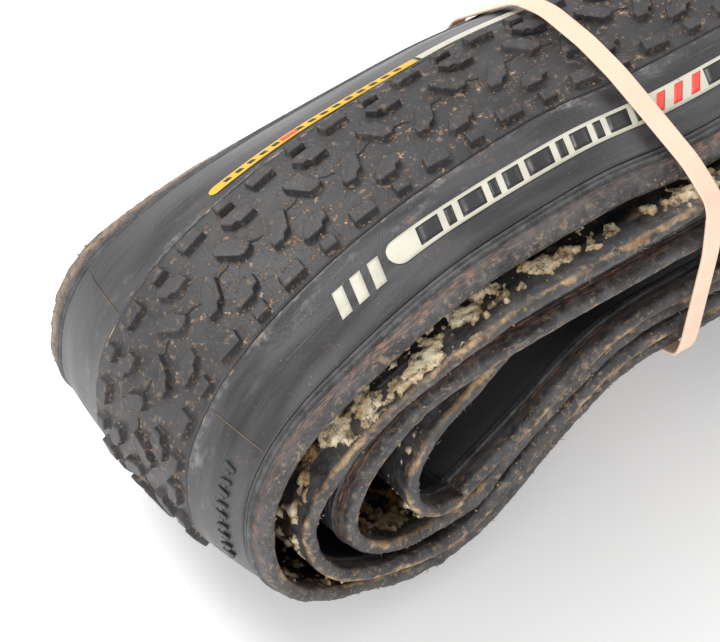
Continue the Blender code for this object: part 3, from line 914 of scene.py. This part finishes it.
def strip(name, s_from, s_to, edges, rounded, finish):
    """A straight printed strip; its s_to end is rounded unless rounded is 0."""
    s = np.arange(s_from, s_to, 1.0).tolist()
    s += [s_to - rounded * (1 - math.sin(t)) for t in np.linspace(0.0, 1.57, 9) if rounded]
    s = sorted(set(round(v, 3) for v in s))
    middle, half = sum(edges) / 2, (edges[1] - edges[0]) / 2
    sizes = []
    for v in s:
        inside = max(0.0, v - (s_to - rounded)) / rounded if rounded else 0.0
        sizes.append(half * math.sqrt(max(0.0, 1.0 - min(inside, 1.0) ** 2)))
    size = np.array(sizes)[:, None]
    share = np.linspace(0.0, 1.0, PATCH_ACROSS)[None, :]
    w = (middle - size) * (1 - share) + (middle + size) * share
    return on_wall(name, [(np.array(s)[:, None], w)], PRINT_LIFT, PRINT_THICK, finish)


def bars(name, rows, lift, finish, leaning=False, thickness=INK_THICK):
    """Slanted thin bars: each is (s from, s to, lower w, upper w, slant)."""
    u = np.linspace(0.0, 1.0, BAR_LENGTHWISE)[:, None]
    v = np.linspace(0.0, 1.0, BAR_ACROSS)[None, :]
    grids = [(s_from + (s_to - s_from) * u + slant * v, low + (high - low) * v + 0.0 * u)
             for s_from, s_to, low, high, slant in rows]
    return on_wall(name, grids, lift, thickness, finish, leaning)


# ------ rubber band
def turn_of(a, b, c):
    """Positive where a, b, c turn left."""
    return (b[0] - a[0]) * (c[1] - a[1]) - (b[1] - a[1]) * (c[0] - a[0])


def hull(points):
    """Convex outline of points in a plane, anticlockwise."""
    points = sorted(set(points))
    outline = []
    for sweep in (points, points[::-1]):
        chain = []
        for p in sweep:
            while len(chain) > 1 and turn_of(chain[-2], chain[-1], p) <= 0:
                chain.pop()
            chain.append(p)
        outline += chain[:-1]
    return np.array(outline)


def evenly(outline, count):
    """A closed outline as evenly spread points."""
    closed = np.vstack([outline, outline[:1]])
    travel = np.concatenate([[0.0], np.cumsum(np.hypot(*np.diff(closed, axis=0).T))])
    goals = np.linspace(0.0, travel[-1], count, endpoint=False)
    return np.stack([np.interp(goals, travel, closed[:, k]) for k in range(2)], -1)


BAND_POINTS = 480
BAND_HALF_THICK = 0.40
BAND_CUP = 0.10          # how far the middle of its width sinks in
BAND_RING = 32           # points round its section


def make_band(finish):
    """The flat band, on the outline of its CAD solid, with rounded and slightly wavy edges."""
    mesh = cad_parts["rubber_band"].data
    points = np.array([v.co for v in mesh.vertices]) / MM
    skew, middle_x = np.polyfit(points[:, 2], points[:, 0], 1)
    apart = points[:, 0] - skew * points[:, 2] - middle_x
    half_wide = (apart.max() - apart.min()) / 2
    flat = hull([(round(float(p[1]), 3), round(float(p[2]), 3)) for p in points])
    core = evenly(flat, BAND_POINTS)
    for _ in range(6):
        core = (np.roll(core, 1, 0) + core + np.roll(core, -1, 0)) / 3.0
    ahead = np.roll(core, -1, 0) - np.roll(core, 1, 0)
    ahead /= np.hypot(*ahead.T)[:, None]
    out = np.stack([ahead[:, 1], -ahead[:, 0]], -1)
    core = core - out * BAND_HALF_THICK
    along = np.arange(BAND_POINTS)
    half = half_wide * (0.98 + 0.06 * (grain(along, along * 0, 60.0, 60) - 0.5))
    sway = 0.5 * (grain(along, along * 0, 80.0, 61) - 0.5)
    ring = []
    for t in np.linspace(0.0, 2 * math.pi, BAND_RING, endpoint=False):
        c, d = math.cos(t), math.sin(t)
        ring.append((math.copysign(abs(c) ** 0.22, c), math.copysign(abs(d) ** 0.7, d)))
    verts = np.empty((BAND_POINTS, len(ring), 3))
    for k, (side, up) in enumerate(ring):
        lift = up * BAND_HALF_THICK - BAND_CUP * (1.0 - side * side)
        verts[:, k, 0] = middle_x + skew * core[:, 1] + side * half + sway
        verts[:, k, 1:] = core + out * lift
    faces = grid_faces(BAND_POINTS, len(ring), True, True)[:, ::-1]
    return make_mesh("rubber_band_latex", verts * MM, faces.tolist(), finish)


# ------ camera, light and floor
VIEW_AZIMUTH, VIEW_ELEVATION = math.radians(-37.0), math.radians(46.0)
VIEW_DISTANCE = 0.940
VIEW_TARGET = (63.4, 0.0, 49.2)       # in the path's coordinates
LENS, SENSOR = 208.2, 36.0

LAMPS = (("key", (-0.35, 0.65, 1.00), 0.5, 9.5),
         ("fill", (-0.9, -0.75, 0.45), 0.45, 7.0),
         ("rim", (0.9, 0.2, 0.7), 0.6, 2.4))       # name, place, size, power
SURROUND = 0.74
FLOOR_HALF = 4.0
FLOOR_LEVEL = -0.0005                 # about as low as the lowest points of the looks


def make_camera():
    """The view from the near left, well above."""
    target = (Vector(VIEW_TARGET) - Vector(ROW_ORIGIN)) * MM
    level = math.cos(VIEW_ELEVATION)
    back = Vector((math.sin(VIEW_AZIMUTH) * level, -math.cos(VIEW_AZIMUTH) * level,
                   math.sin(VIEW_ELEVATION)))
    camera = bpy.data.objects.new("camera", bpy.data.cameras.new("camera"))
    camera.data.lens = LENS
    camera.data.sensor_width = SENSOR
    camera.data.clip_start = 0.01
    camera.location = target + back * VIEW_DISTANCE
    camera.rotation_euler = back.to_track_quat("Z", "Y").to_euler()
    bpy.context.scene.collection.objects.link(camera)
    bpy.context.scene.camera = camera


def area_light(name, place_at, size, power):
    """A soft square lamp aimed at the bundle."""
    lamp = bpy.data.lights.new(name, "AREA")
    lamp.size = size
    lamp.energy = power
    thing = bpy.data.objects.new(name, lamp)
    thing.location = place_at
    aim = Vector((0.0, 0.0, 0.05)) - Vector(place_at)
    thing.rotation_euler = aim.to_track_quat("-Z", "Y").to_euler()
    bpy.context.scene.collection.objects.link(thing)


def make_studio():
    """Pale floor, soft lamps and a bright even surround."""
    corners = [(FLOOR_HALF * x, FLOOR_HALF * y, 0.0)
               for x, y in ((-1, -1), (1, -1), (1, 1), (-1, 1))]
    mesh = bpy.data.meshes.new("floor")
    mesh.from_pydata(corners, [], [(0, 1, 2, 3)])
    mesh.materials.append(floor_material())
    floor = bpy.data.objects.new("floor", mesh)
    floor.location.z = FLOOR_LEVEL
    bpy.context.scene.collection.objects.link(floor)
    for lamp in LAMPS:
        area_light(*lamp)
    world = bpy.data.worlds.new("studio")
    world.use_nodes = True
    background = world.node_tree.nodes["Background"]
    background.inputs["Color"].default_value = (1.0, 1.0, 1.0, 1.0)
    background.inputs["Strength"].default_value = SURROUND
    bpy.context.scene.world = world
    bpy.context.scene.view_settings.view_transform = "Standard"


# ------ assembly
def stand_for(thing, *nodes, body="tire"):
    """Put a piece on its body in place of CAD nodes."""
    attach(thing, body)
    if nodes:
        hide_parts(*nodes)


NEAR_STRIP = (-30.0, -24.0)      # lower and upper edge
STRIP_END = 187.0                # its rounded end
MARKS = (-29.1, -24.9)           # lower and upper end of the bars on it
FIRST_BARS = (6.0, 2.2, 6.5, 2.2, 4.5, 7.0, 2.2, 5.0, 2.2, 6.0, 3.4)     # their lengths
BAR_SLANT, ACCENT_SLANT = -1.5, -3.4


def near_strip_rows():
    """Dark bars of mixed length along the near strip, with three red ones among them."""
    marks, reds = [], []
    s = STRIP_END - 7.5
    for length in FIRST_BARS:
        marks.append((s - length, s, *MARKS, BAR_SLANT))
        s -= length + 1.7
    for _ in range(3):
        reds.append((s - 2.4, s, *MARKS, ACCENT_SLANT))
        s -= 5.0
    while s > 14.0:
        length = 2.4 + 3.6 * rng.random()
        marks.append((s - length, s, *MARKS, BAR_SLANT))
        s -= length + 1.8
    return marks, reds


def make_transfers():
    """Pale strip and emblem on the near sidewall, a yellow strip on the far one."""
    cream = transfer("transfer_cream", (0.60, 0.575, 0.475))
    yellow = transfer("transfer_yellow", (0.74, 0.44, 0.030))
    red = transfer("transfer_red", (0.80, 0.07, 0.05))
    dark = transfer("transfer_black", (0.02, 0.02, 0.022))
    near = strip("near_strip", 8.0, STRIP_END, NEAR_STRIP, 3.0, cream)
    stand_for(near, "label_strip_near")
    marks, reds = near_strip_rows()
    stand_for(bars("near_strip_marks", marks, INK_LIFT, dark))
    stand_for(bars("near_strip_accent", reds, INK_LIFT, red))
    slashes = [(s, s + 3.0, -30.6, -24.6, -2.2) for s in (190.5, 195.5, 200.5)]
    emblem = bars("near_emblem", slashes, 0.18, cream)
    stand_for(emblem, "emblem_near")
    far = strip("far_strip", 146.0, 204.0, (18.6, 21.6), 2.0, yellow)
    stand_for(far, "label_strip_far")
    stand_for(strip("far_strip_pale", 20.0, 145.8, (18.8, 21.8), 0.0, cream))
    ticks = [(s, s + 1.6, 19.6, 20.7, 0.5) for s in np.arange(150.0, 199.0, 3.4)
             if not 178.0 < s < 184.0]
    stand_for(bars("far_strip_ticks", ticks, INK_LIFT, dark))
    stand_for(bars("far_strip_accent", [(179.0, 183.5, 19.4, 20.9, 0.0)], INK_LIFT, red))


def make_embossing(finish):
    """Raised mould dashes low on the near sidewall, by the left-hand fold."""
    rows = []
    for k in range(9):
        s = 246.0 + 3.6 * k
        rows.append((s, s + 1.1, -32.6, -29.6, 0.6 if k % 2 else -0.6))
        rows.append((s + 1.1, s + 2.3, -31.6, -30.6, 0.0))
    return bars("near_mould_marks", rows, 0.42, finish,
                thickness=MARK_THICK)


def make_seams(finish):
    """The mould's fine joint line across both sidewalls, where the mould's halves met."""
    rows = [(SEAM, SEAM + 0.35, 17.9, 35.5, 0.5), (SEAM, SEAM + 0.35, -35.5, -17.9, 0.5)]
    return bars("mould_seams", rows, 0.12, finish, True)


def make_tire():
    """The rubber, in place of its CAD layers."""
    tread = tread_rubber()
    wall = sidewall_rubber()
    near_bead = bead_rubber("bead_rubber_near", 40.2, 0.70)
    far_bead = bead_rubber("bead_rubber_far", 38.8, 0.95)
    stand_for(make_tread(tread), "tread_cap", "breaker_belt")
    stand_for(make_blocks(tread))
    stand_for(make_sidewall("sidewall_near_skin", -1, wall), "sidewall_near")
    stand_for(make_sidewall("sidewall_far_skin", 1, wall), "sidewall_far")
    stand_for(make_bead("bead_near_skin", -1, near_bead), "bead_chafer_near", "bead_core_near")
    stand_for(make_bead("bead_far_skin", 1, far_bead), "bead_chafer_far", "bead_core_far")
    stand_for(make_liner(liner_rubber()), "casing_ply", "inner_liner")
    return wall


def make_soiling():
    """Dried sealant, grit, cracks, crumbs and fibres."""
    crust = sealant_crust()
    stand_for(make_sealant(crust))
    stand_for(make_specks(crust))
    grit = crumb_material("bead_grit", (0.23, 0.135, 0.07), (0.42, 0.30, 0.17))
    stand_for(make_bead_crumbs(grit))
    # the slits' near-black colour is painted shade for the depth of the cracks
    stand_for(make_slits(crumb_material("slit_painted_shade", (0.012, 0.012, 0.012), (0.05, 0.04, 0.03))))
    stand_for(make_crumbs(crumb_material("dirt_tan", TAN, BROWN)))
    stand_for(make_fibres(crumb_material("bead_fibre_brown", (0.30, 0.21, 0.13), BROWN)))


def main():
    """The whole picture."""
    make_camera()
    wall = make_tire()
    make_soiling()
    stand_for(make_embossing(wall))
    stand_for(make_seams(crumb_material("seam_dirt", (0.20, 0.14, 0.09), (0.03, 0.03, 0.03))))
    make_transfers()
    stand_for(make_band(band_latex()), "rubber_band", body="band")
    make_studio()


main()
